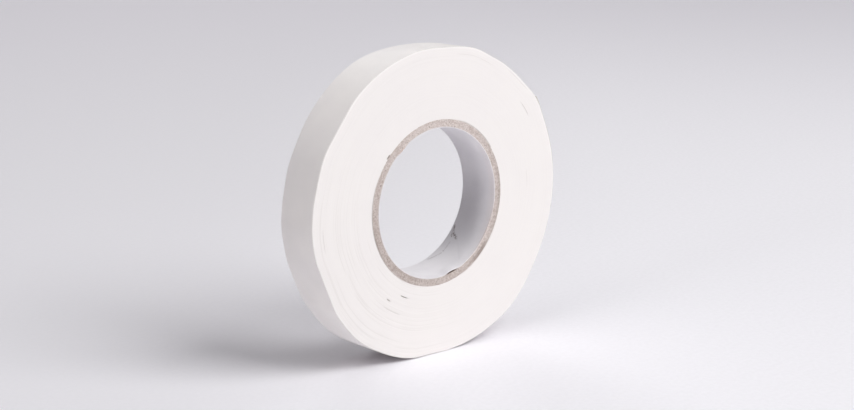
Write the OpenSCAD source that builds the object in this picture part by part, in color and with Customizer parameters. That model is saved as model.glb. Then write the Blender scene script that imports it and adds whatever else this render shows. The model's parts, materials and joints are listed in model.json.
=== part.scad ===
// A roll of white cloth tape on a spiral-wound paperboard core.
// The roll stands on its rim. Its axis runs along Y, and its front face looks to -Y.
// The origin is on the floor, under the middle of the axis.
// Angles count from the roll's right side, +X, upwards to +Z.

/* [Core] */
// Bore of the core, for a 3 inch hub
core_bore_d = 76.2; // [60:0.1:110]
// Thickness of the white paper that lines the bore
liner_t = 0.4; // [0.2:0.05:0.8]
// Thickness of one board ply of the core
ply_t = 0.62; // [0.4:0.01:0.9]
// Number of board plies in the core
ply_count = 6; // [3:1:8]
// Gap along a ply's butt seam
seam_gap = 0.3; // [0.1:0.1:2]
// Angle between a ply's seam and the core's axis
seam_angle = 55; // [30:1:60]

/* [Tape] */
// Width of the tape, to which the core is cut
tape_w = 24; // [12:1:36]
// Thickness of the plastic film on the tape's face
film_t = 0.08; // [0.04:0.01:0.15]
// Thickness of the woven cloth
cloth_t = 0.12; // [0.06:0.01:0.25]
// Thickness of the adhesive
adhesive_t = 0.08; // [0.04:0.01:0.15]
// Turns of tape under the outer turn
wound_turns = 131; // [60:1:180]

/* [Free end] */
// Angle of the tape's cut end
end_angle = 34; // [25:1:42]
// Length of the tail, which lifts off the roll
tail_len = 45; // [30:1:50]
// Gap under the tail
tail_gap = 0.1; // [0.05:0.05:0.3]
// Gap at each line where the tail bends
bend_gap = 0.1; // [0.05:0.05:0.3]

/* [Pressed flats] */
// Depth of the flat that the roll stands on
stand_flat = 1.4; // [0.7:0.1:2]
// Depth of the flat low on the left
low_left_flat = 1.2; // [0.4:0.1:2]
// Depth of the flat high on the left
high_left_flat = 0.8; // [0.4:0.1:2]
// Depth of the flat at the middle of the left
left_flat = 0.4; // [0.3:0.1:0.8]
// Depth of the flat at the top right
top_right_flat = 0.6; // [0.4:0.1:1]
// Depth of the flat at the top
top_flat = 1.1; // [0.4:0.1:2]

/* [Hidden] */
$fn = 180;

// Core
bore_r = core_bore_d / 2;
board_r = bore_r + liner_t;
core_r = board_r + ply_count * ply_t;
// Each ply's seam is this far round from the seam below it
seam_step = 137;

// Tape, wound as a spiral of two half circles for each turn
tape_t = film_t + cloth_t + adhesive_t;
wound_r = core_r + wound_turns * tape_t;
// The lower half turn has its centre this far towards the cut end
half_step = tape_t / 2;

// Layers of the tape, as [inner, outer] distances from its sticky side
ADHESIVE = [0, adhesive_t];
CLOTH = [adhesive_t, adhesive_t + cloth_t];
FILM = [adhesive_t + cloth_t, tape_t];

// Tail, in three stretches with a bend line before each
TAIL_STRETCHES = 3;
tail_r = wound_r + half_step + tail_gap;
tail_arc = tail_len / tail_r * 180 / PI;
stretch_arc = tail_arc / TAIL_STRETCHES;
bend_arc = bend_gap / tail_r * 180 / PI;

// Flats that every turn follows, as [angle, depth at half the tape's width, lean].
// A flat that leans by more than 0 is deeper at the back, and by less than 0 at the front.
STAND_ANGLE = 270;
FLATS = [
    [STAND_ANGLE, stand_flat, 0],
    [202, low_left_flat, -2],
    [143, high_left_flat, -2],
    [168, left_flat, 0],
    [62, top_right_flat, -1.5],
    [88, top_flat, 5],
];

// Distance of the wound tape's surface from the axis at an angle
function spiral_r(angle) =
    let (local = angle - end_angle)
    sin(local) >= 0
        ? wound_r
        : half_step * cos(local)
            + sqrt(pow(wound_r + half_step, 2) - pow(half_step * sin(local), 2));

axis_h = spiral_r(STAND_ANGLE) + tape_t - stand_flat;
// Sizes of shapes that cut right through the roll
reach = 2 * (wound_r + tape_t);
cut_w = 2 * tape_w;

// Stands a shape that was drawn round Z on the floor, with its axis along Y
module standing() {
    translate([0, 0, axis_h])
        rotate([90, 0, 0])
            children();
}

// Gives an outline the width of the tape, or another one
module slit_width(width = tape_w) {
    standing()
        linear_extrude(width, center = true)
            children();
}

module tube(inner_r, outer_r) {
    difference() {
        circle(outer_r);
        circle(inner_r);
    }
}

// Pie slice from one angle to another, less than half a turn
module slice(from, to) {
    polygon([
        [0, 0],
        reach * [cos(from), sin(from)],
        reach / cos((to - from) / 2) * [cos((from + to) / 2), sin((from + to) / 2)],
        reach * [cos(to), sin(to)],
    ]);
}

// Outline of a turn that lies this far over the wound tape, before it is pressed
module turn_outline(over) {
    rotate(end_angle) {
        intersection() {
            circle(wound_r + over);
            translate([-reach, 0])
                square([2 * reach, reach]);
        }
        intersection() {
            translate([half_step, 0])
                circle(wound_r + half_step + over);
            translate([-reach, -reach])
                square([2 * reach, reach]);
        }
    }
}

// Everything inside a turn that lies this far over the wound tape, pressed flat in places
module inside_turn(over, width) {
    difference() {
        slit_width(width)
            turn_outline(over);
        for (flat = FLATS)
            standing()
                rotate([0, 0, flat[0]])
                    translate([spiral_r(flat[0]) + over - flat[1], 0, 0])
                        rotate([0, flat[2], 0])
                            translate([0, -reach / 2, -reach / 2])
                                cube(reach);
    }
}

// Slot along a ply's butt seam, on the angle of the winding
module seam_slot(ply) {
    slot_len = 2 * tape_w / cos(seam_angle);
    standing()
        rotate([0, 0, ply * seam_step])
            rotate([seam_angle, 0, 0])
                translate([0, -seam_gap / 2, -slot_len / 2])
                    cube([reach, seam_gap, slot_len]);
}

// One layer of the outer turn, from the wound tape's end to the tail
module outer_layer(layer) {
    difference() {
        inside_turn(layer[1], tape_w);
        inside_turn(layer[0], cut_w);
        slit_width(cut_w)
            rotate(end_angle)
                translate([half_step, 0])
                    slice(-tail_arc - bend_arc / 2, 0);
    }
}

// One layer of one stretch of the tail, counted from the roll to the cut end
module tail_layer(layer, stretch) {
    from = end_angle - tail_arc + (stretch - 1) * stretch_arc + bend_arc / 2;
    to = from + stretch_arc - bend_arc;
    slit_width()
        translate(half_step * [cos(end_angle), sin(end_angle)])
            intersection() {
                tube(tail_r + layer[0], tail_r + layer[1]);
                slice(from, to);
            }
}

module core_liner() {
    color("whitesmoke")
        slit_width()
            tube(bore_r, board_r);
}

module core_ply(ply) {
    color("rosybrown")
        difference() {
            slit_width()
                tube(board_r + (ply - 1) * ply_t, board_r + ply * ply_t);
            seam_slot(ply);
        }
}

module wound_tape() {
    color("snow")
        difference() {
            inside_turn(0, tape_w);
            slit_width(cut_w)
                circle(core_r);
        }
}

module outer_adhesive() {
    color("linen")
        outer_layer(ADHESIVE);
}

module outer_cloth() {
    color("white")
        outer_layer(CLOTH);
}

module outer_film() {
    color("snow")
        outer_layer(FILM);
}

module tail_adhesive(stretch) {
    color("linen")
        tail_layer(ADHESIVE, stretch);
}

module tail_cloth(stretch) {
    color("white")
        tail_layer(CLOTH, stretch);
}

module tail_film(stretch) {
    color("snow")
        tail_layer(FILM, stretch);
}

core_liner();
for (i = [1 : ply_count])
    core_ply(i);
wound_tape();
outer_adhesive();
outer_cloth();
outer_film();
for (i = [1 : TAIL_STRETCHES]) {
    tail_adhesive(i);
    tail_cloth(i);
    tail_film(i);
}
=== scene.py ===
"""A roll of white cloth tape on a paperboard core, standing on its rim.

Lengths are in metres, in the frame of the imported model: the roll's axis runs along Y and its
front face looks to -Y. Angles are in degrees and count from +X upwards to +Z. A point of a
piece is first given as angle, radius and y.
"""

import json
import math

import bmesh
import bpy
import numpy as np
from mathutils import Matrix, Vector


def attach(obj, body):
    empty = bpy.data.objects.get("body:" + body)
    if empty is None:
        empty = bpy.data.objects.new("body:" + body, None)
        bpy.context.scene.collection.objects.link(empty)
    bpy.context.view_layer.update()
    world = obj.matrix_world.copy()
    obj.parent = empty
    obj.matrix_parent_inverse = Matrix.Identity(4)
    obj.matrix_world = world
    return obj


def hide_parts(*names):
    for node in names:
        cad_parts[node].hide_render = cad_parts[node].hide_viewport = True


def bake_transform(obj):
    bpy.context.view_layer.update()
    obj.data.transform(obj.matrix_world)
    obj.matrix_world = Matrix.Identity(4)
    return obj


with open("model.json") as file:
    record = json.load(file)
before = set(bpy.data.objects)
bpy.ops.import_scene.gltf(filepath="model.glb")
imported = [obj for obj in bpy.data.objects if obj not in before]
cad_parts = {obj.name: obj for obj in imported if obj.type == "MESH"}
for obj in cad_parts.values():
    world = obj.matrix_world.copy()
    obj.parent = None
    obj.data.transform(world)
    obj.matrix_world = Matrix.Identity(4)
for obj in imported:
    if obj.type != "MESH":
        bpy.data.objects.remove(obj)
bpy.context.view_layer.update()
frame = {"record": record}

MM = 0.001
mounts = {mount["name"]: mount for mount in frame["record"]["mounts"]}

# Core, from the bore outwards
AXIS_Z = mounts["core_bore"]["pos_m"][2]
BORE_R = mounts["core_bore"]["dims"]["r_mm"] * MM
HALF_W = mounts["core_bore"]["dims"]["length_mm"] * MM / 2
LINER_T = 0.4 * MM
PLY_T = 0.62 * MM
PLY_COUNT = 6
BOARD_R = BORE_R + LINER_T
CORE_R = BOARD_R + PLY_COUNT * PLY_T
SEAM_GAP = 0.3 * MM
SEAM_SLANT = 55
SEAM_STEP = 137

# Tape, from its sticky side outwards
ADHESIVE_T = 0.08 * MM
CLOTH_T = 0.12 * MM
FILM_T = 0.08 * MM
TAPE_T = ADHESIVE_T + CLOTH_T + FILM_T
LAYERS = {
    "adhesive": (0, ADHESIVE_T),
    "cloth": (ADHESIVE_T, ADHESIVE_T + CLOTH_T),
    "film": (ADHESIVE_T + CLOTH_T, TAPE_T),
}
# How far each layer's cut edge stands back from the tape's widest line
EDGE_INSET = {"adhesive": 0.04 * MM, "cloth": 0, "film": 0.02 * MM}
# How far the tape's edges were rolled over by the knife
ROLLED_EDGE = 0.07 * MM
# Distance from one thread of the cloth to the next
WEAVE_PITCH = 0.5 * MM
TURNS = 131
WOUND_R = CORE_R + TURNS * TAPE_T
# How far the turns' edges, and the first edge on the core, stand back from the tape's width
TURN_INSET = 0.06 * MM
CORE_EDGE_INSET = 0.08 * MM

# Free end of the tape, counted along the tape from the first bend line
END_ANGLE = 34
TAIL_LEN = 45 * MM
STRETCHES = 3
STRETCH_LEN = TAIL_LEN / STRETCHES
# The tail's first piece starts this far before the line
TAIL_LEAD = 3 * MM
# How far the tail stands off the roll, and how far and over what length its end curls up
TAIL_LIFT = 0.12 * MM
END_CURL = 0.4 * MM
CURL_LEN = 9 * MM
TAIL_R = WOUND_R + TAPE_T
# Degrees round the roll for a length along the tail
TAIL_DEG = math.degrees(1 / TAIL_R)
FIRST_BEND = END_ANGLE - TAIL_LEN * TAIL_DEG

# Flats that every turn follows, as angle and depth at the front and at the back
FLATS = (
    (267, 0.5 * MM, 267, 0.5 * MM),
    (203, 1.4 * MM, 203, 0.5 * MM),
    (142.5, 1.15 * MM, 152, 0.4 * MM),
    (165, 0.45 * MM, 168, 0.2 * MM),
    (63, 0.4 * MM, 63, 0.1 * MM),
)
FLAT_SOFTNESS = 0.35 * MM
# Broad dents, as angle, half width, depth at the front and depth at the back.
# A depth below 0 is a swelling.
DENTS = (
    (273, 22, 1.12 * MM, 1.12 * MM),
    (53, 25, 0.6 * MM, 0.1 * MM),
    (88, 31, 0.05 * MM, 2.4 * MM),
    (86, 16, 1.05 * MM, 0),
    (309, 21, -1.3 * MM, -1.1 * MM),
    (230, 14, -0.55 * MM, -0.55 * MM),
    (182, 8, -0.3 * MM, -0.3 * MM),
    (165, 62, 0, -0.5 * MM),
    (120, 20, -0.2 * MM, -0.3 * MM),
    (34, 11, -0.95 * MM, -0.5 * MM),
    (2, 20, -0.3 * MM, -0.2 * MM),
)
# How fast the flats and dents fade towards the core
PRESS_FADE = 1.6

# Points round the roll for each turn
WOUND_COLUMNS = 300
# Where the turns' edges are least even
ROUGH_SIDE = 212
# Gaps between turns on the front face, as radius, first angle, last angle and depth
FACE_GAPS = (
    (70.4 * MM, 31, 37.5, 0.22 * MM),
    (75.2 * MM, 61, 80, 0.07 * MM),
    (77.8 * MM, 40, 52, 0.07 * MM),
    (72.8 * MM, 181, 190, 0.14 * MM),
    (54.4 * MM, 232.6, 234.8, 0.7 * MM),
    (49.5 * MM, 241, 246, 0.6 * MM),
    (58.4 * MM, 233, 244, 0.16 * MM),
    (60.6 * MM, -1, 7, 0.08 * MM),
    (42.6 * MM, 137, 140, 0.9 * MM),
    (42.5 * MM, -4, 72, 0.2 * MM),
    (42.5 * MM, 152, 240, 0.2 * MM),
    (42.5 * MM, 292, 340, 0.25 * MM),
)
# Painted shade in a gap is darkest from this depth on
DARK_GAP = 0.5 * MM

# Camera, as the photograph was taken, with its frame in pixels
FRAME_W = 854
CAMERA_AZIMUTH = -40.97
CAMERA_ELEVATION = 14.04
CAMERA_DISTANCE = 1.1584
FOCAL_PX = 2318.8
SHIFT_RIGHT_PX = -4.85
SHIFT_UP_PX = 6.2
SENSOR_W = 36


# Noise and shaping along a line

# Steps after which the noise repeats
NOISE_STEPS = 4096


def wander(position, seed):
    """Smooth random values from -1 to 1 along a line, with one new value for each whole step."""
    values = np.random.default_rng(seed).uniform(-1, 1, NOISE_STEPS)
    step = np.floor(position).astype(int)
    part = position - step
    part = part * part * (3 - 2 * part)
    return values[step % NOISE_STEPS] * (1 - part) + values[(step + 1) % NOISE_STEPS] * part


def ledges(position, seed, width):
    """Random levels from -1 to 1, one for each whole step, with a ledge of that width between them."""
    step = np.floor(position)
    part = np.clip((position - step) / width, 0, 1)
    return wander(step + part, seed)


def bell(distance, half_width):
    """1 in the middle, falling smoothly to 0 at half_width."""
    return 0.5 + 0.5 * np.cos(np.pi * np.clip(np.abs(distance) / half_width, 0, 1))


def rise(value, low, high):
    """0 up to low and 1 from high, with a smooth rise between them."""
    part = np.clip((value - low) / (high - low), 0, 1)
    return part * part * (3 - 2 * part)


def apart(angle, other):
    """How far an angle is past another one, from -180 to 180."""
    return (angle - other + 180) % 360 - 180


# Meshes


def placed(polar):
    """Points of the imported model's frame from rows of angle, radius and y."""
    turned = np.radians(polar[:, 0])
    return np.stack(
        (polar[:, 1] * np.cos(turned), polar[:, 2], AXIS_Z + polar[:, 1] * np.sin(turned)), axis=1
    )


def make_object(name, points, faces, attributes):
    """A smooth closed mesh with its normals outwards and a value of each attribute for each point."""
    mesh = bpy.data.meshes.new(name)
    mesh.from_pydata(points.tolist(), [], faces)
    for key, values in attributes.items():
        layer = mesh.attributes.new(key, "FLOAT", "POINT")
        layer.data.foreach_set("value", np.asarray(values, np.float32).ravel())
    work = bmesh.new()
    work.from_mesh(mesh)
    bmesh.ops.recalc_face_normals(work, faces=work.faces)
    work.to_mesh(mesh)
    work.free()
    mesh.polygons.foreach_set("use_smooth", [True] * len(mesh.polygons))
    piece = bpy.data.objects.new(name, mesh)
    bpy.context.scene.collection.objects.link(piece)
    return piece


def add_edge_split(piece, angle):
    """Keeps edges that turn by more than the angle crisp."""
    mesh = piece.data
    work = bmesh.new()
    work.from_mesh(mesh)
    for edge in work.edges:
        edge.smooth = edge.calc_face_angle(0) < math.radians(angle)
    work.to_mesh(mesh)
    work.free()


def shell_faces(columns, rows, closed):
    """Faces of a thin strip from a grid of outer points and a like grid of inner points."""
    outer = np.arange(columns * rows).reshape(columns, rows)
    inner = outer + columns * rows
    if closed:
        outer = np.vstack((outer, outer[:1]))
        inner = np.vstack((inner, inner[:1]))
    faces = []
    for grid in (outer, inner):
        quads = np.stack((grid[:-1, :-1], grid[1:, :-1], grid[1:, 1:], grid[:-1, 1:]), axis=-1)
        faces += quads.reshape(-1, 4).tolist()
    for row in (0, -1):
        quads = np.stack((outer[:-1, row], outer[1:, row], inner[1:, row], inner[:-1, row]), axis=-1)
        faces += quads.tolist()
    for column in () if closed else (0, -1):
        ends = (outer[column, :-1], outer[column, 1:], inner[column, 1:], inner[column, :-1])
        faces += np.stack(ends, axis=-1).tolist()
    return faces


def make_shell(name, outer, inner, closed=False, **attributes):
    """A thin strip between two grids of angle, radius and y. An attribute is a grid for each of them."""
    columns, rows = outer.shape[:2]
    polar = np.vstack((outer.reshape(-1, 3), inner.reshape(-1, 3)))
    values = {key: np.ravel(grids) for key, grids in attributes.items()}
    values["along"] = np.radians(polar[:, 0]) * polar[:, 1]
    values["across"] = polar[:, 2]
    piece = make_object(name, placed(polar), shell_faces(columns, rows, closed), values)
    add_edge_split(piece, 40)
    return piece


def finish_piece(piece, material, nodes, body=None):
    """Gives a piece its looks and the CAD nodes that it stands for, and lets it ride on a body."""
    piece.data.materials.append(material)
    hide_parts(*nodes)
    if body:
        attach(piece, body)
    return piece


# Materials


def node(tree, kind, sockets=None, **settings):
    """A shader node with its settings and its sockets set or linked."""
    made = tree.nodes.new(kind)
    for key, value in settings.items():
        setattr(made, key, value)
    for key, value in (sockets or {}).items():
        if isinstance(value, bpy.types.NodeSocket):
            tree.links.new(value, made.inputs[key])
        else:
            made.inputs[key].default_value = value
    return made


def attribute(tree, name):
    return node(tree, "ShaderNodeAttribute", attribute_name=name).outputs["Fac"]


def maths(tree, operation, first, second=0.0):
    return node(tree, "ShaderNodeMath", {0: first, 1: second}, operation=operation).outputs[0]


def fade(tree, value, low, high, start=0.0, end=1.0):
    """Runs from start to end as value goes from low to high."""
    sockets = {"Value": value, "From Min": low, "From Max": high, "To Min": start, "To Max": end}
    return node(tree, "ShaderNodeMapRange", sockets, interpolation_type="SMOOTHSTEP").outputs[0]


def noise(tree, scale, detail=3.0, position=None, roughness=0.5):
    """Grain in the object's own coordinates, or along one value."""
    if position is None:
        position = node(tree, "ShaderNodeTexCoord").outputs["Object"]
    sockets = {"Scale": scale, "Detail": detail, "Roughness": roughness}
    if position.type == "VALUE":
        made = node(tree, "ShaderNodeTexNoise", {"W": position, **sockets}, noise_dimensions="1D")
    else:
        made = node(tree, "ShaderNodeTexNoise", {"Vector": position, **sockets})
    return made.outputs["Fac"]


def tinted(tree, factor, first, second):
    """A colour between two others."""
    sockets = {0: factor, 6: first, 7: second}
    return node(tree, "ShaderNodeMix", sockets, data_type="RGBA").outputs[2]


def bumped(tree, height, distance, strength, normal=None):
    sockets = {"Height": height, "Distance": distance, "Strength": strength}
    if normal is not None:
        sockets["Normal"] = normal
    return node(tree, "ShaderNodeBump", sockets).outputs["Normal"]


def weave(tree, pitch):
    """Height of a plain weave whose threads run along and across the tape."""
    waves = []
    for name in ("along", "across"):
        turned = maths(tree, "MULTIPLY", attribute(tree, name), math.pi / pitch)
        waves.append(maths(tree, "SINE", turned))
    return maths(tree, "MULTIPLY", *waves)


def colour(red, green, blue):
    """A shader colour from the values that a screen shows, out of 255."""
    screen = (value / 255 for value in (red, green, blue))
    linear = [v / 12.92 if v < 0.04045 else ((v + 0.055) / 1.055) ** 2.4 for v in screen]
    return (*linear, 1)


def new_material(name, **sockets):
    """A material's node tree and its main shader, with what is the same all over set on the shader."""
    made = bpy.data.materials.new(name)
    made.use_nodes = True
    shader = made.node_tree.nodes["Principled BSDF"]
    for key, value in sockets.items():
        shader.inputs[key.replace("_", " ")].default_value = value
    return made, made.node_tree, shader


def connect(tree, shader, **sockets):
    for key, value in sockets.items():
        tree.links.new(value, shader.inputs[key.replace("_", " ")])


def tape_side_material():
    """Cut edges of the turns: warm white, each turn a little lighter or darker, with painted shade on
    turns that stand back and in open gaps (partly dirt there), and a painted highlight on the outermost
    turns.
    """
    made, tree, shader = new_material("tape_side", Roughness=0.85, Specular_IOR_Level=0.25)
    turn = attribute(tree, "turn")
    bands = noise(tree, 0.31, 4, turn, 0.7)
    base = tinted(tree, bands, colour(245, 240, 238), colour(250, 246, 244))
    blotches = fade(tree, noise(tree, 45, 3), 0.35, 0.7)
    base = tinted(tree, maths(tree, "MULTIPLY", blotches, 0.25), base, colour(243, 238, 238))
    edge = maths(tree, "SINE", maths(tree, "MULTIPLY", turn, 2 * math.pi))
    base = tinted(tree, fade(tree, edge, 0.2, 1, 0, 0.12), base, colour(214, 204, 198))
    # Painted shade on turns that stand back from those beside them
    lines = maths(tree, "MULTIPLY", attribute(tree, "line"), 0.22)
    base = tinted(tree, lines, base, colour(206, 200, 194))
    # Painted highlight: the outermost turns are painted lighter, as a bright line along the rim
    rim = fade(tree, turn, TURNS - 3, TURNS + 0.5, 0, 0.6)
    base = tinted(tree, rim, base, colour(255, 253, 252))
    # Painted shade, partly dirt, in open gaps, darker the deeper the gap
    gap_shade_and_dirt = maths(tree, "MULTIPLY", attribute(tree, "gap"), fade(tree, noise(tree, 900), 0.2, 0.45))
    base = tinted(tree, gap_shade_and_dirt, base, colour(132, 116, 106))
    fuzz = noise(tree, 4200, 3)
    normal = bumped(tree, fuzz, 0.03 * MM, 0.35)
    normal = bumped(tree, edge, 0.02 * MM, 0.25, normal)
    connect(tree, shader, Base_Color=base, Normal=normal)
    return made


def film_material():
    """Matt plastic film over the cloth, whose weave prints through."""
    made, tree, shader = new_material("tape_film", Specular_IOR_Level=0.08, Diffuse_Roughness=0.6)
    clouds = fade(tree, noise(tree, 28, 3), 0.3, 0.7)
    base = tinted(tree, clouds, colour(240, 236, 236), colour(247, 243, 242))
    threads = weave(tree, WEAVE_PITCH)
    slubs = noise(tree, 1100, 2)
    base = tinted(tree, fade(tree, threads, 0.1, 1, 0, 0.18), base, colour(226, 221, 219))
    rough = fade(tree, noise(tree, 160, 4), 0.25, 0.75, 0.42, 0.58)
    normal = bumped(tree, threads, 0.04 * MM, 0.5)
    normal = bumped(tree, slubs, 0.03 * MM, 0.2, normal)
    connect(tree, shader, Base_Color=base, Roughness=rough, Normal=normal)
    return made


def cloth_material():
    """Bleached plain weave."""
    made, tree, shader = new_material("tape_cloth", Roughness=0.92, Specular_IOR_Level=0.2)
    threads = weave(tree, WEAVE_PITCH)
    base = tinted(tree, fade(tree, threads, -0.6, 0.8), colour(248, 245, 240), colour(222, 216, 208))
    flecks = fade(tree, noise(tree, 700, 3), 0.55, 0.75, 0, 0.4)
    base = tinted(tree, flecks, base, colour(232, 226, 216))
    normal = bumped(tree, threads, 0.06 * MM, 0.6)
    connect(tree, shader, Base_Color=base, Normal=normal)
    return made


def adhesive_material():
    """Tacky cream rubber that has taken the print of the weave."""
    made, tree, shader = new_material("tape_adhesive", Specular_IOR_Level=0.5, Coat_Weight=0.15)
    smears = fade(tree, noise(tree, 120, 4), 0.3, 0.7)
    base = tinted(tree, smears, colour(239, 233, 219), colour(247, 243, 233))
    threads = weave(tree, WEAVE_PITCH)
    rough = fade(tree, noise(tree, 420, 3), 0.3, 0.7, 0.3, 0.55)
    normal = bumped(tree, threads, 0.03 * MM, 0.35)
    normal = bumped(tree, noise(tree, 900, 3), 0.05 * MM, 0.3, normal)
    connect(tree, shader, Base_Color=base, Roughness=rough, Normal=normal)
    return made


def board_material():
    """Cut end of grey-brown board, with its fibres along the plies and a few dark specks."""
    made, tree, shader = new_material("core_board", Roughness=0.95, Specular_IOR_Level=0.15)
    fibres = noise(tree, 1300, 4, None, 0.7)
    base = tinted(tree, fade(tree, fibres, 0.32, 0.68), colour(194, 178, 171), colour(234, 225, 221))
    patches = fade(tree, noise(tree, 150, 3), 0.4, 0.65, 0, 0.4)
    base = tinted(tree, patches, base, colour(222, 211, 207))
    specks = fade(tree, noise(tree, 1700, 2), 0.63, 0.72)
    base = tinted(tree, specks, base, colour(116, 98, 88))
    # The shade attribute darkens the board: tone that changes round the ring and from ply to ply, a
    # smudge, and painted shadow in the slit under the liner's loose edge
    base = tinted(tree, attribute(tree, "shade"), base, colour(128, 110, 100))
    normal = bumped(tree, fibres, 0.12 * MM, 0.6)
    connect(tree, shader, Base_Color=base, Normal=normal)
    return made


def paper_material():
    """White paper inside the core, scuffed brown in places."""
    made, tree, shader = new_material("liner_paper", Specular_IOR_Level=0.3)
    clouds = fade(tree, noise(tree, 60, 4), 0.3, 0.7)
    base = tinted(tree, clouds, colour(231, 228, 232), colour(239, 236, 239))
    fibres = noise(tree, 1800, 4, None, 0.6)
    base = tinted(tree, fade(tree, fibres, 0.5, 0.8, 0, 0.35), base, colour(222, 219, 221))
    board = tinted(tree, fade(tree, fibres, 0.35, 0.65), colour(196, 170, 158), colour(226, 208, 200))
    base = tinted(tree, attribute(tree, "torn"), base, board)
    ragged = fade(tree, noise(tree, 1300, 4, None, 0.7), 0.4, 0.56)
    scuffs = maths(tree, "MULTIPLY", attribute(tree, "scuff"), ragged)
    base = tinted(tree, scuffs, base, colour(118, 102, 100))
    rough = fade(tree, noise(tree, 220, 3), 0.3, 0.7, 0.55, 0.75)
    normal = bumped(tree, fibres, 0.04 * MM, 0.35)
    connect(tree, shader, Base_Color=base, Roughness=rough, Normal=normal)
    return made


TAPE_SIDE = tape_side_material()
BOARD = board_material()
PAPER = paper_material()
LAYER_MATERIALS = {
    "adhesive": adhesive_material(),
    "cloth": cloth_material(),
    "film": film_material(),
}


# Core

# Where the liner's edge has come loose from the front rim, how far, and how deep into the bore
LOOSE_ANGLE = 284.5
LOOSE_LIFT = 0.9 * MM
LOOSE_DEPTH = 9 * MM
# Lap seam of the liner, as a point on it, its slant in degrees for a length and its step
LAP_ANGLE = 314
LAP_Y = 3 * MM
LAP_SLANT = 1.45 / MM
LAP_STEP = 0.05 * MM
# Where the liner's front rim is torn
TORN_ANGLE = 127
# Room between the liner and the board
LINER_ROOM = 0.004 * MM
# Where the outer plies have a brown smudge
SMUDGE_ANGLE = 313
# Scuffs inside the bore, as angle and y of each end, half width and strength
SCUFFS = (
    (326.2, 11.0 * MM, 322.0, 9.9 * MM, 0.8 * MM, 1),
    (320.4, 9.6 * MM, 316.4, 5.4 * MM, 1.2 * MM, 1),
    (319.6, 9.8 * MM, 316.8, 9.1 * MM, 0.9 * MM, 0.9),
    (312.0, 7.6 * MM, 303.5, 7.2 * MM, 0.7 * MM, 0.3),
    (302.8, 7.3 * MM, 302.4, 7.1 * MM, 0.6 * MM, 0.7),
    (300.0, 7.2 * MM, 289.7, 10.4 * MM, 0.7 * MM, 0.5),
)


def scuff_marks(angle, y):
    """Strength of the scuffs at places inside the bore."""
    marks = np.zeros_like(angle)
    for first, first_y, last, last_y, half_width, strength in SCUFFS:
        line = np.array((math.radians(last - first) * BORE_R, last_y - first_y))
        spot = np.stack((np.radians(apart(angle, first)) * BORE_R, y - first_y), axis=-1)
        share = np.clip(spot @ line / (line @ line), 0, 1)
        away = np.linalg.norm(spot - share[..., None] * line, axis=-1)
        marks = np.maximum(marks, strength * bell(away, half_width))
    return marks


def make_liner():
    """Paper tube with its lap seam, an edge that has come loose and a torn rim."""
    angles = np.linspace(0, 360, 640, endpoint=False)
    near_rim = HALF_W * np.array((-1, -0.985, -0.96, -0.92, -0.86))
    middle = np.linspace(-0.8, 0.8, 41) * HALF_W
    rows = np.concatenate((near_rim, middle, -near_rim[::-1]))
    angle, y = np.meshgrid(angles, rows, indexing="ij")

    # The edge that has come loose, at the bottom of the front rim
    depth = y + HALF_W
    along = apart(angle, LOOSE_ANGLE)
    loose = rise(along, -9, -2) * (1 - rise(along, 0, 9)) * (1 - rise(depth, 0, LOOSE_DEPTH))
    loose = LOOSE_LIFT * loose
    # The lap seam that runs from that edge to the back on a slant
    past_seam = apart(angle, LAP_ANGLE + LAP_SLANT * (y - LAP_Y))
    lap = LAP_STEP * rise(past_seam, -0.7, 0.7) * (1 - rise(past_seam, 1, 14))
    # Torn paper on the rim at the upper left, and a rim that is never quite even
    at_rim = 1 - rise(depth, 0.2 * MM, 1.6 * MM)
    torn = bell(apart(angle, TORN_ANGLE), 9) * at_rim
    cut = 0.15 * (np.abs(y) > 0.99 * HALF_W)
    bits = torn * 0.3 * MM * (0.5 + 0.5 * wander(angle * 0.9, 31))
    uneven = 0.05 * MM * wander(angle * 0.8, 32) * at_rim

    moved = loose + lap + bits
    swell = 0.05 * MM * wander(angle / 30, 33) * np.cos(np.pi * y / HALF_W / 2)
    outer_r = BOARD_R - loose - bits * 0.3 - LINER_ROOM
    inner_r = BORE_R - moved + np.minimum(swell, 0) + uneven
    ragged = np.where(np.abs(y) > 0.99 * HALF_W, 0.07 * MM * wander(angle * 1.3, 34), 0)
    ragged = ragged - torn * 0.12 * MM

    # The board shows through along the rim at the right, and the paper there is tinted a little towards
    # the board's colour up to about 6 mm in
    bare = 0.6 * bell(apart(angle, 330), 42) * (1 - rise(depth, 0.2 * MM, 1.3 * MM))
    board_tint = 0.22 * bell(apart(angle, 355), 70) * (1 - rise(depth, 1 * MM, 6 * MM))
    torn = np.max((torn, cut, bare, board_tint), axis=0)
    scuffs = scuff_marks(angle, y)
    polar = [np.stack((angle, radius, y + ragged), axis=-1) for radius in (outer_r, inner_r)]
    piece = make_shell("core_paper", *polar, closed=True, scuff=(scuffs, scuffs), torn=(torn, torn))
    return finish_piece(piece, PAPER, ["core_liner"], "roll")


def ply_shade(ply, angle):
    """How much darker than plain board a ply is at an angle, from 0 to 1."""
    # The board is lightest at the top and darkest at the lower left
    shade = 0.07 * (1 + wander(angle * 0.12, 80 + ply)) * (1 - bell(apart(angle, 85), 70))
    shade = shade + 0.2 * bell(apart(angle, 225), 130)
    # The outer plies are darker on the right, and the outermost one at the left too
    shade = shade + (0.09 + 0.045 * (ply - 3)) * bell(apart(angle, 350), 70)
    if ply == PLY_COUNT:
        shade = shade + 0.25 * bell(apart(angle, 200), 20)
    if ply > PLY_COUNT / 2:
        shade = shade + 0.4 * bell(apart(angle, SMUDGE_ANGLE), 15)
    return np.clip(shade, 0, 1)


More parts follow.
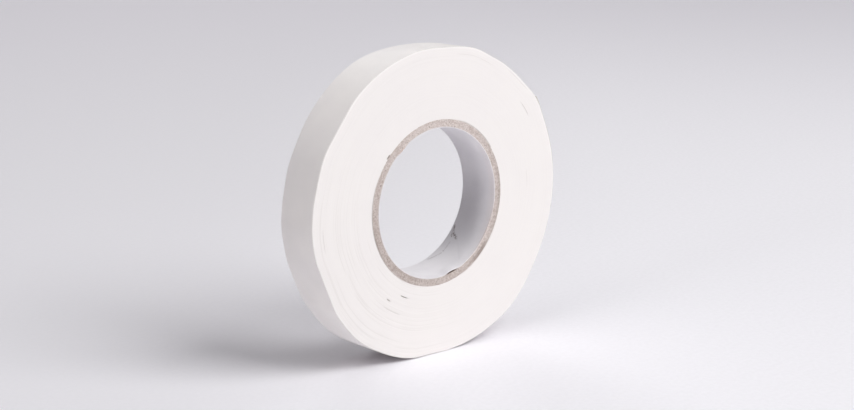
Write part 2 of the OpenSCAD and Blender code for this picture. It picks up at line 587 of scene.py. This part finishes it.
def make_ply(ply):
    """One board ply with its slanted butt seam, its cut ends a little out of line with the others."""
    inner_r = BOARD_R + (ply - 1) * PLY_T
    outer_r = inner_r + PLY_T
    bevel = 0.04 * MM
    half_gap = math.degrees(SEAM_GAP / 2 / math.cos(math.radians(SEAM_SLANT)) / inner_r)
    turned = ply * SEAM_STEP + np.linspace(half_gap, 360 - half_gap, 480)
    rows = np.concatenate(((-1,), np.linspace(-0.992, 0.992, 19), (1,))) * HALF_W
    turned, y = np.meshgrid(turned, rows, indexing="ij")
    slant = math.tan(math.radians(SEAM_SLANT))
    angle = turned + np.degrees(np.arcsin(slant * y / outer_r))

    at_end = np.abs(y) > 0.999 * HALF_W
    set_back = 0.05 * MM * (1 + wander(np.array(ply * 1.0), 41))
    fibre = 0.035 * MM * wander(angle * 1.1, 50 + ply) + 0.03 * MM * wander(angle * 0.23, 60 + ply)
    y_end = y - np.sign(y) * (set_back + fibre) * (np.abs(y) > 0.9 * HALF_W)
    sides = []
    for radius, inward in ((outer_r, -1), (inner_r, 1)):
        cut = bevel * (1 + 0.5 * wander(angle * 0.9, 70 + ply)) * at_end
        sides.append(np.stack((angle, radius + inward * cut, y_end), axis=-1))
    shade = ply_shade(ply, angle)
    inner_shade = shade
    if ply == 1:
        # Painted shadow: the board's inner face in the slit under the liner's loose edge is painted dark
        along = apart(angle, LOOSE_ANGLE)
        slit_shadow = rise(along, -7, -4) * (1 - rise(along, 4, 8))
        inner_shade = np.maximum(shade, slit_shadow * (y < 0) * ~at_end)
    piece = make_shell(f"core_board_{ply}", *sides, shade=(shade, inner_shade))
    return finish_piece(piece, BOARD, [f"core_ply_{ply}"], "roll")


# Tape


def step_up(angle):
    """How far a turn has climbed, from nothing where it starts to the tape's thickness a turn later."""
    turned = np.radians(angle - END_ANGLE)
    return np.where(turned > np.pi, TAPE_T / 2 * (1 + np.cos(turned)), 0)


def pressed(radius, angle, y):
    """Radius at an angle after the roll has been pressed out of round, less so towards the core."""
    depth = 0
    to_back = (y / HALF_W + 1) / 2
    for front_middle, front, back_middle, back in FLATS:
        middle = front_middle + (back_middle - front_middle) * to_back
        turned = np.radians(apart(angle, middle))
        flat = front + (back - front) * to_back
        chord = (WOUND_R - flat) / np.cos(np.clip(turned, -1, 1))
        dent = WOUND_R - chord
        depth = depth + (dent + np.sqrt(dent * dent + FLAT_SOFTNESS**2)) / 2
    for middle, half_width, front, back in DENTS:
        depth = depth + (front + (back - front) * to_back) * bell(apart(angle, middle), half_width)
    share = np.clip((radius - CORE_R) / (WOUND_R - CORE_R), 0, 1)
    return radius - depth * share**PRESS_FADE


def winding_lines(angle, turn, seed):
    """1 where a turn stands back from those beside it, coming and going along the tape."""
    picked = rise(wander(turn * 1.1, seed), 0.1, 0.8)
    stretch = rise(wander(angle / 11 + 7 * np.floor(turn), seed + 1), -0.4, 0.5)
    uneven = 0.2 + 0.8 * bell(apart(angle, ROUGH_SIDE), 80)
    return picked * stretch * uneven


# Seeds for the unevenness of the tape's front and back edges
FRONT_SEED = 101
BACK_SEED = 201


def edge_shift(angle, turn, seed):
    """How far the cut edge of the tape stands back at a turn, because it was never wound quite true."""
    slow = 0.025 * ledges(turn / 6.1, seed, 0.17)
    quick = 0.012 * ledges(turn / 2.3, seed + 1, 0.4)
    uneven = 0.25 + 0.75 * bell(apart(angle, ROUGH_SIDE), 95)
    lines = 0.06 * winding_lines(angle, turn, seed + 2)
    # The outermost turns were pushed back a little by handling
    worn = 0.3 + 0.3 * bell(apart(angle, 160), 60)
    worn = worn * np.clip((turn - TURNS + 3) / 5, 0, 1) ** 2
    return MM * (uneven * (slow + quick) + lines + worn)


def wound_side(angles, side, seed):
    """Points and attributes of one face of the wound turns, from the core outwards."""
    columns = len(angles)
    turn, angle = np.meshgrid(np.arange(1, TURNS + 1), angles, indexing="ij")
    radius = CORE_R + TAPE_T * turn + step_up(angle)
    whole = turn + (angle - END_ANGLE) / 360
    y = side * HALF_W - side * edge_shift(angle, whole, seed)
    y = y - side * TURN_INSET
    gap = np.zeros_like(radius)
    for gap_r, first, last, depth in FACE_GAPS if side < 0 else ():
        middle, half = (first + last) / 2, (last - first) / 2
        ends = 1 - rise(np.abs(apart(angle, middle)), half * 0.7, half * 1.15 + 0.6)
        cut = ends * bell(radius - gap_r, 1.05 * TAPE_T)
        y = y + depth * cut
        gap = np.maximum(gap, cut * min(1, depth / DARK_GAP))
    line = winding_lines(angle, whole, seed + 2)

    # The circle on the core comes before the rings, and the tape's end after them
    core_y = np.full(columns, side * (HALF_W - CORE_EDGE_INSET))
    core = np.stack((angles, np.full(columns, CORE_R), core_y), axis=-1)
    rings = np.stack((angle, pressed(radius, angle, y), y), axis=-1)
    end_r = pressed(np.array(WOUND_R + TAPE_T), END_ANGLE, side * HALF_W)
    end = np.array([[END_ANGLE + 360, end_r, side * (HALF_W - TURN_INSET)]])
    values = {
        "turn": np.concatenate((np.full(columns, 0.5), whole.ravel(), [TURNS + 1])),
        "gap": np.concatenate((gap[0], gap.ravel(), [0])),
        "line": np.concatenate((line[0], line.ravel(), [0])),
    }
    return np.vstack((core, rings.reshape(-1, 3), end)), values


def wound_faces(columns):
    """Faces of the wound turns: first their two sides and the wall on the core, then the rim."""
    side_size = columns * (TURNS + 1) + 1
    core = np.arange(columns)
    ring = np.arange(columns, side_size - 1).reshape(TURNS, columns)
    # A ring runs on into the next one, and the last into the tape's end
    after = np.append(ring[1:, 0], side_size - 1)[:, None]
    ring = np.hstack((ring, after))
    quads = np.stack((ring[:-1, :-1], ring[:-1, 1:], ring[1:, 1:], ring[1:, :-1]), axis=-1)
    first = np.stack((core[:-1], core[1:], ring[0, 1:-1], ring[0, :-2]), axis=-1)
    face = quads.reshape(-1, 4).tolist() + first.tolist()
    face.append([core[-1], core[0], ring[0, 0], ring[0, -1], ring[0, -2]])
    faces = [[int(corner) for corner in corners] for corners in face]
    faces += [[int(corner) + side_size for corner in corners] for corners in face]
    walls = []
    for line in (np.append(core, core[0]), np.append(ring[-1], ring[-1, 0])):
        other = line + side_size
        walls.append(np.stack((line[:-1], line[1:], other[1:], other[:-1]), axis=-1).tolist())
    return faces + walls[0], walls[1]


def make_wound_tape():
    """All turns under the outer one, as one spiral whose edges show on both faces."""
    angles = END_ANGLE + np.linspace(0, 360, WOUND_COLUMNS, endpoint=False)
    front, front_values = wound_side(angles, -1, FRONT_SEED)
    back, back_values = wound_side(angles, 1, BACK_SEED)
    polar = np.vstack((front, back))
    values = {key: np.concatenate((front_values[key], back_values[key])) for key in front_values}
    values["along"] = np.radians(polar[:, 0]) * polar[:, 1]
    values["across"] = polar[:, 2]
    sides, rim = wound_faces(WOUND_COLUMNS)
    piece = make_object("wound_turns", placed(polar), sides + rim, values)
    add_edge_split(piece, 50)
    finish_piece(piece, TAPE_SIDE, ["wound_tape"], "roll")
    # The surface under the tail is the film's face
    piece.data.materials.append(LAYER_MATERIALS["film"])
    for polygon in piece.data.polygons[len(sides):]:
        polygon.material_index = 1
    return piece


def layer_sides(layer, angle, across, lift):
    """Outer and inner points of a layer of the tape, where lift is its distance off the wound turns."""
    low, high = LAYERS[layer]
    half = HALF_W - EDGE_INSET[layer]
    turn = TURNS + 1 + (angle - END_ANGLE) / 360
    front_shift = edge_shift(angle, turn, FRONT_SEED)
    back_shift = edge_shift(angle, turn, BACK_SEED)
    y = across * half + np.where(across < 0, front_shift, -back_shift) * np.abs(across)
    base = pressed(WOUND_R + step_up(angle), angle, y) + lift
    worn = ROLLED_EDGE * rise(np.abs(across), 0.96, 1) * high / TAPE_T
    return [np.stack((angle, base + over - worn, y), axis=-1) for over in (high, low)]


# Places across the tape from its front edge to its back edge, closest together at the edges
NEAR_EDGE = np.array((1, 0.99, 0.975, 0.955))
ACROSS = np.concatenate((-NEAR_EDGE, np.linspace(-0.9, 0.9, 9), NEAR_EDGE[::-1]))


def make_outer_layer(layer):
    """One layer of the outer turn, which ends shortly before the first bend line of the tail."""
    last = FIRST_BEND - TAIL_LEAD * TAIL_DEG + 360
    angle, across = np.meshgrid(np.linspace(END_ANGLE, last, 420), ACROSS, indexing="ij")
    piece = make_shell(f"outer_turn_{layer}", *layer_sides(layer, angle, across, 0))
    material = LAYER_MATERIALS[layer]
    return finish_piece(piece, material, [f"outer_{layer}"], "roll")


def make_tail_piece(layer, stretch):
    """One layer of the tail across one bend line, from the middle of a stretch to that of the next."""
    bend = (stretch - 1) * STRETCH_LEN
    is_first, is_last = stretch == 1, stretch == STRETCHES
    start = bend - (TAIL_LEAD if is_first else STRETCH_LEN / 2)
    end = bend + (STRETCH_LEN if is_last else STRETCH_LEN / 2)
    along, across = np.meshgrid(np.linspace(start, end, 48), ACROSS, indexing="ij")
    # The end was torn by hand along a thread
    ragged = 0.35 * MM * wander(across * 4.5, 301) + 0.15 * MM * wander(across * 14, 302)
    along = along + ragged * rise(along, TAIL_LEN - 6 * MM, TAIL_LEN)
    curl = np.clip((along - TAIL_LEN + CURL_LEN) / CURL_LEN, 0, 1)
    lift = TAIL_LIFT * rise(along, 0, STRETCH_LEN) + END_CURL * curl * curl
    angle = FIRST_BEND + along * TAIL_DEG + 360
    piece = make_shell(f"tail_{layer}_strip_{stretch}", *layer_sides(layer, angle, across, lift))
    finish_piece(piece, LAYER_MATERIALS[layer], [f"tail_{layer}_{stretch}"])
    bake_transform(piece)
    return piece


make_liner()
for number in range(1, PLY_COUNT + 1):
    make_ply(number)
make_wound_tape()
for layer_name in LAYERS:
    make_outer_layer(layer_name)
    for number in range(1, STRETCHES + 1):
        make_tail_piece(layer_name, number)


# Floor, light and camera

ROLL_CENTRE = Vector((0, 0, AXIS_Z))
FLOOR_R = 8


def aim(thing, target):
    """Turns a lamp or camera to look at a point."""
    thing.rotation_euler = (target - thing.location).to_track_quat("-Z", "Y").to_euler()


def direction(azimuth, elevation):
    """Towards a viewer at that azimuth, 0 in front of the roll, and elevation."""
    turned, up = math.radians(azimuth), math.radians(elevation)
    return Vector((math.sin(turned) * math.cos(up), -math.cos(turned) * math.cos(up), math.sin(up)))


def make_floor():
    """A wide sheet of pale paper, with painted light on the camera's right and painted shade far away.
    """
    made, tree, shader = new_material("floor", Roughness=0.6, Specular_IOR_Level=0.2)
    spot = node(tree, "ShaderNodeTexCoord").outputs["Object"]
    away = node(tree, "ShaderNodeVectorMath", {0: spot}, operation="LENGTH").outputs["Value"]
    right = {0: spot, 1: direction(CAMERA_AZIMUTH + 90, 0)}
    right = node(tree, "ShaderNodeVectorMath", right, operation="DOT_PRODUCT").outputs["Value"]
    # Painted light: the floor is painted lighter on the camera's right
    base = tinted(tree, fade(tree, right, -0.15, 0.15), colour(237, 235, 240), colour(252, 250, 255))
    # Painted shade: the floor is painted darker far from the roll
    base = tinted(tree, fade(tree, away, 0.4, 1.3), base, colour(236, 233, 240))
    paper = fade(tree, noise(tree, 400, 3), 0.3, 0.7, 0, 0.15)
    base = tinted(tree, paper, base, colour(226, 224, 229))
    connect(tree, shader, Base_Color=base)
    bpy.ops.mesh.primitive_circle_add(vertices=96, radius=FLOOR_R, fill_type="NGON")
    floor = bpy.context.object
    floor.name = "floor"
    floor.data.materials.append(made)


def add_lamp(name, azimuth, elevation, distance, size, power, tint):
    """A square lamp that looks at the roll from that azimuth and elevation."""
    lamp = bpy.data.lights.new(name, "AREA")
    lamp.size = size
    lamp.energy = power
    lamp.color = tint
    holder = bpy.data.objects.new(name, lamp)
    holder.location = ROLL_CENTRE + direction(azimuth, elevation) * distance
    aim(holder, ROLL_CENTRE)
    bpy.context.scene.collection.objects.link(holder)


def add_camera():
    """The camera of the photograph."""
    camera = bpy.data.cameras.new("camera")
    camera.sensor_width = SENSOR_W
    camera.lens = FOCAL_PX * SENSOR_W / FRAME_W
    camera.shift_x = -SHIFT_RIGHT_PX / FRAME_W
    camera.shift_y = -SHIFT_UP_PX / FRAME_W
    holder = bpy.data.objects.new("camera", camera)
    holder.location = ROLL_CENTRE + direction(CAMERA_AZIMUTH, CAMERA_ELEVATION) * CAMERA_DISTANCE
    aim(holder, ROLL_CENTRE)
    bpy.context.scene.collection.objects.link(holder)
    bpy.context.scene.camera = holder


make_floor()
add_lamp("key", 25, 45, distance=3.6, size=2.4, power=115, tint=(0.995, 1, 0.99))
add_lamp("fill", -84.7, 3.5, distance=2.6, size=0.45, power=15, tint=(1, 0.99, 0.98))
add_lamp("top", 0, 85, distance=2.6, size=2, power=15, tint=(0.96, 0.97, 1))
add_lamp("left", -78, 55, distance=3, size=1.5, power=7, tint=(1, 0.98, 0.95))
add_lamp("back", 152, 26, distance=3.6, size=1.7, power=22, tint=(1, 0.97, 0.99))
world = bpy.data.worlds.new("studio")
world.use_nodes = True
background = world.node_tree.nodes["Background"]
background.inputs["Color"].default_value = (0.97, 0.97, 1, 1)
background.inputs["Strength"].default_value = 0.02
bpy.context.scene.world = world
bpy.context.scene.view_settings.view_transform = "Standard"
add_camera()
